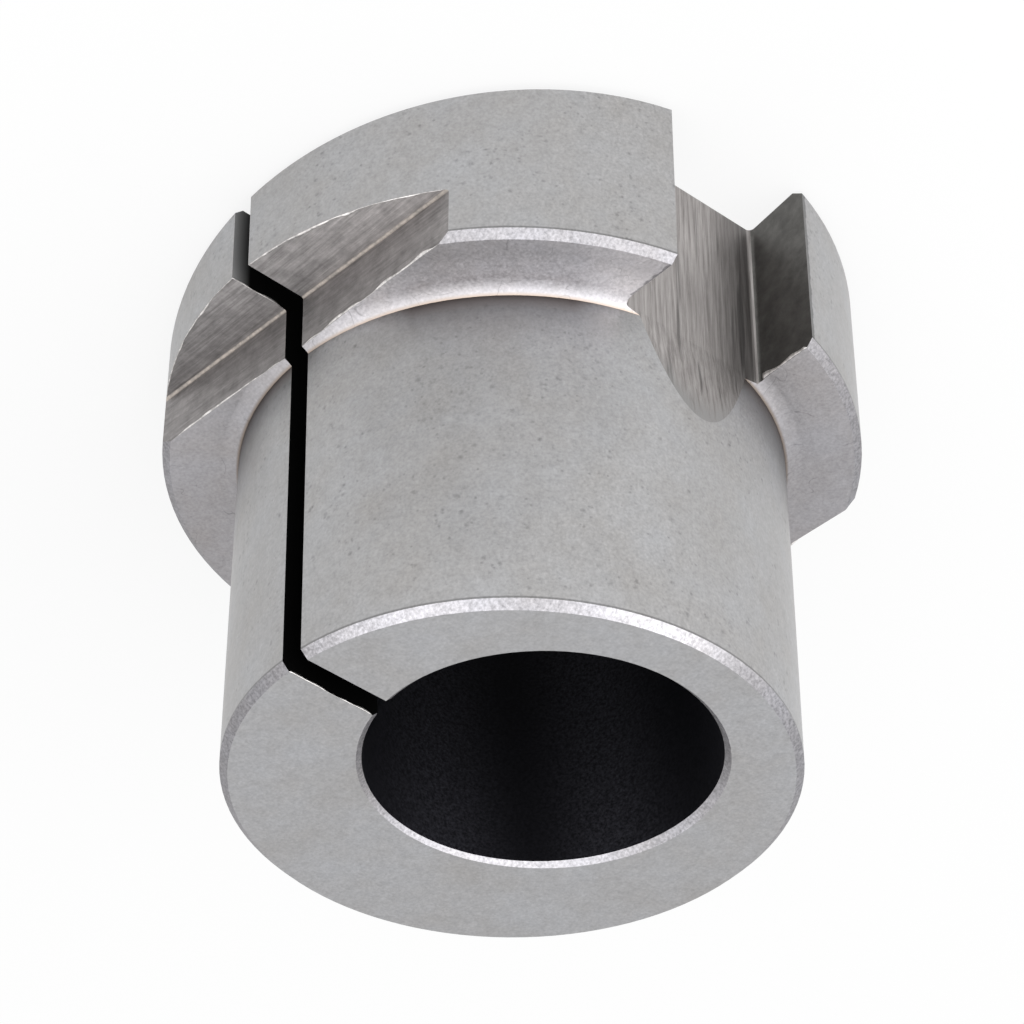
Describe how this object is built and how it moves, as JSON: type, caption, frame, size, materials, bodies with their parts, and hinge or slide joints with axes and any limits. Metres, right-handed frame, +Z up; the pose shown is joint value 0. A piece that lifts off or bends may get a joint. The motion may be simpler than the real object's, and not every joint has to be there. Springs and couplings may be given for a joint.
{
  "type": "camber adjusting bushing",
  "caption": "Split steel sleeve with a wedge-shaped head, an inclined stud bore, wrench flats and a notch, turned in an axle eye to set wheel camber.",
  "frame": {"origin": "centre of the stud bore at the head face, on which the bushing stands", "axes": "+Z up along the stud bore towards the small end, +X towards the notch, where the head is thickest, +Y towards the slit"},
  "size_m": [0.0455, 0.0448, 0.0365],
  "materials": {
    "steel": "matte tumbled steel, with milled flats and notch"
  },
  "bodies": {
    "root": {"bushing": "steel"}
  },
  "joints": []
}
